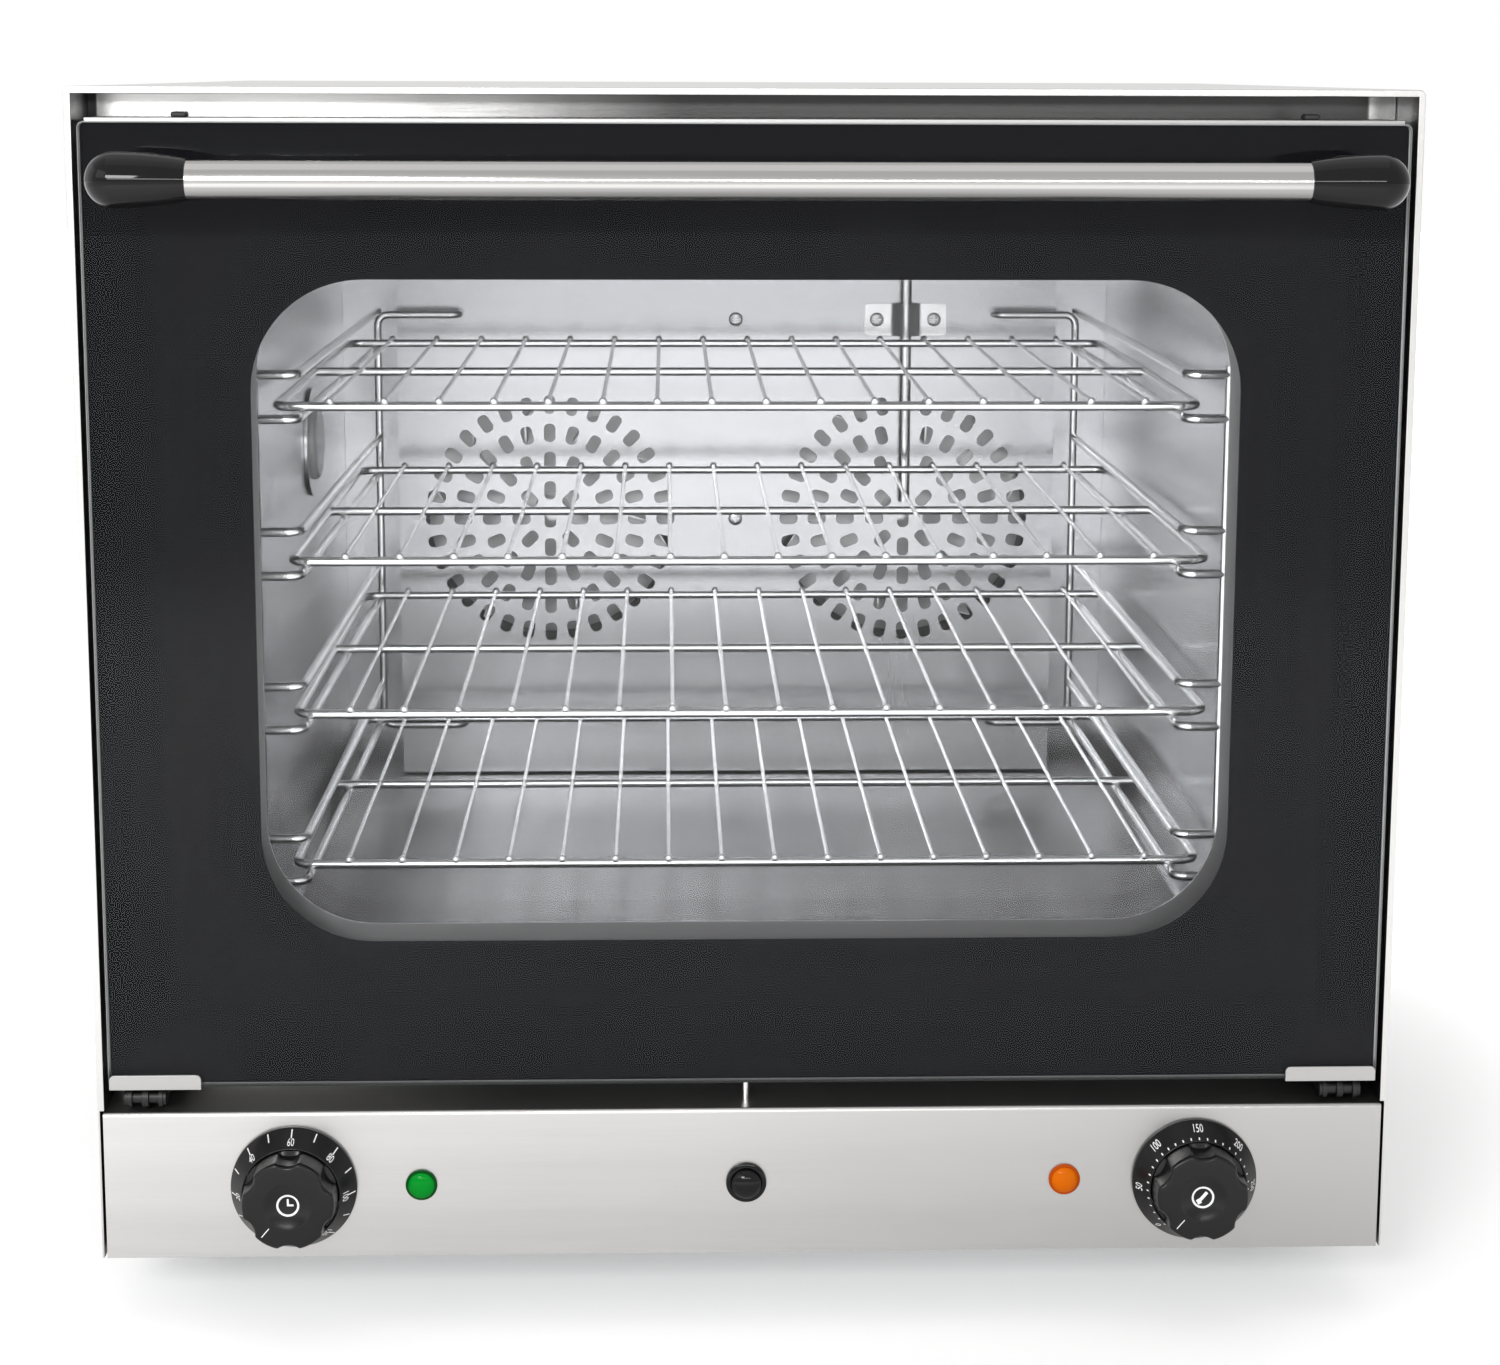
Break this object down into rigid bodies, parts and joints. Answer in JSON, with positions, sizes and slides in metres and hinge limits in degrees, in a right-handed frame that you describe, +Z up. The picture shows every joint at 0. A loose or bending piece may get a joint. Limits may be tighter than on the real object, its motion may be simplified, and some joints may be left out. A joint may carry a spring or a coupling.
{
  "type": "convection oven",
  "caption": "Countertop convection oven with drop-down glass door, wire shelves in side runners, two fans behind a slotted guard, two dials, pilot lights and a steam button.",
  "frame": {"origin": "on the floor under the middle of the oven's bounding box, handle and rear fittings included", "axes": "+Z up, +Y to the back, +X to the right as seen from the front, door facing -Y"},
  "size_m": [0.595, 0.601, 0.57],
  "materials": {
    "casing_steel": "brushed stainless sheet",
    "panel_steel": "brushed stainless sheet, grain level",
    "zinc_sheet": "galvanised sheet",
    "chamber_steel": "bright stainless sheet",
    "bright_wire": "bright chromed wire",
    "handle_steel": "polished stainless tube",
    "bright_fittings": "bright zinc",
    "clear_glass": "clear toughened glass",
    "inner_clear_glass": "clear heat-proof glass",
    "black_print": "black enamel behind glass",
    "gasket_rubber": "heat-proof seal",
    "mineral_wool": "loose wool",
    "black_gloss": "polished black plastic",
    "dial_black": "satin black plastic",
    "green_lens": "clear green plastic",
    "orange_lens": "clear orange plastic",
    "lamp_lens": "heat-proof lamp glass",
    "heater_sheath": "oxidised heater sheath",
    "motor_metal": "dark motor casing",
    "fan_metal": "pressed fan wheel",
    "foot_rubber": "black rubber",
    "valve_brass": "turned brass",
    "terminal_white": "heat-proof plastic",
    "switch_body": "switch body"
  },
  "bodies": {
    "root": {"outer_casing": "casing_steel", "back_panel": "zinc_sheet", "base_pan": "zinc_sheet", "control_panel": "panel_steel", "front_frame": "casing_steel", "cavity_liner": "chamber_steel", "insulation_blanket": "mineral_wool", "door_gasket": "gasket_rubber", "lamp_holder": "chamber_steel", "lamp_glass": "lamp_lens", "fan_guard": "chamber_steel", "cavity_screws": "bright_fittings", "steam_tube": "handle_steel", "tube_clamp": "chamber_steel", "water_valve": "valve_brass", "vent_pipe": "chamber_steel", "cable_gland": "dial_black", "terminal_block": "terminal_white", "rack_frame_left": "bright_wire", "rack_frame_right": "bright_wire", "fan_motor_left": "motor_metal", "fan_motor_right": "motor_metal", "heating_ring_left": "heater_sheath", "heating_ring_right": "heater_sheath", "hinge_bracket_left": "bright_fittings", "hinge_bracket_right": "bright_fittings", "door_rest_pin": "bright_fittings", "timer_unit": "dial_black", "thermostat_unit": "dial_black", "green_pilot_lens": "green_lens", "orange_pilot_lens": "orange_lens", "pilot_housings": "switch_body", "button_housing": "black_gloss", "button_spring": "bright_fittings", "feet": "foot_rubber", "panel_screws": "bright_fittings"},
    "door": {"outer_glass": "clear_glass", "glass_border": "black_print", "door_frame": "casing_steel", "inner_glass": "inner_clear_glass", "glass_clips": "panel_steel", "clip_screws": "bright_fittings", "hinge_arm_left": "bright_fittings", "hinge_arm_right": "bright_fittings", "handle_bar": "handle_steel", "handle_end_left": "black_gloss", "handle_end_right": "black_gloss"},
    "timer_dial": {"timer_knob": "dial_black", "timer_shaft": "bright_fittings"},
    "thermostat_dial": {"thermostat_knob": "dial_black", "thermostat_shaft": "bright_fittings"},
    "steam_button": {"steam_button": "black_gloss"},
    "fan_wheel_left": {"fan_left": "fan_metal", "fan_shaft_left": "bright_fittings"},
    "fan_wheel_right": {"fan_right": "fan_metal", "fan_shaft_right": "bright_fittings"},
    "shelf_1": {"shelf_1": "bright_wire"},
    "shelf_2": {"shelf_2": "bright_wire"},
    "shelf_3": {"shelf_3": "bright_wire"},
    "shelf_4": {"shelf_4": "bright_wire"}
  },
  "joints": [
    {"name": "door_hinge", "type": "hinge", "parent": "root", "child": "door", "pos_m": [0, -0.2475, 0.11], "axis": [1, 0, 0], "range_deg": [0, 90]},
    {"name": "timer_turn", "type": "hinge", "parent": "root", "child": "timer_dial", "pos_m": [-0.2085, -0.2525, 0.0685], "axis": [0, 1, 0], "range_deg": [0, 280]},
    {"name": "thermostat_turn", "type": "hinge", "parent": "root", "child": "thermostat_dial", "pos_m": [0.2085, -0.2525, 0.0685], "axis": [0, 1, 0], "range_deg": [0, 280]},
    {"name": "steam_press", "type": "slide", "parent": "root", "child": "steam_button", "axis": [0, 1, 0], "range_m": [0, 0.003], "stiffness_N_per_m": 400, "springref_m": -0.002, "deforming": ["button_spring"]},
    {"name": "fan_left_spin", "type": "hinge", "parent": "root", "child": "fan_wheel_left", "pos_m": [-0.106, 0.1875, 0.311], "axis": [0, 1, 0], "continuous": true},
    {"name": "fan_right_spin", "type": "hinge", "parent": "root", "child": "fan_wheel_right", "pos_m": [0.106, 0.1875, 0.311], "axis": [0, 1, 0], "continuous": true},
    {"name": "shelf_1_slide", "type": "slide", "parent": "root", "child": "shelf_1", "axis": [0, -1, 0], "range_m": [-0.018, 0.036]},
    {"name": "shelf_2_slide", "type": "slide", "parent": "root", "child": "shelf_2", "axis": [0, -1, 0], "range_m": [-0.018, 0.036]},
    {"name": "shelf_3_slide", "type": "slide", "parent": "root", "child": "shelf_3", "axis": [0, -1, 0], "range_m": [-0.018, 0.036]},
    {"name": "shelf_4_slide", "type": "slide", "parent": "root", "child": "shelf_4", "axis": [0, -1, 0], "range_m": [-0.018, 0.036]}
  ]
}
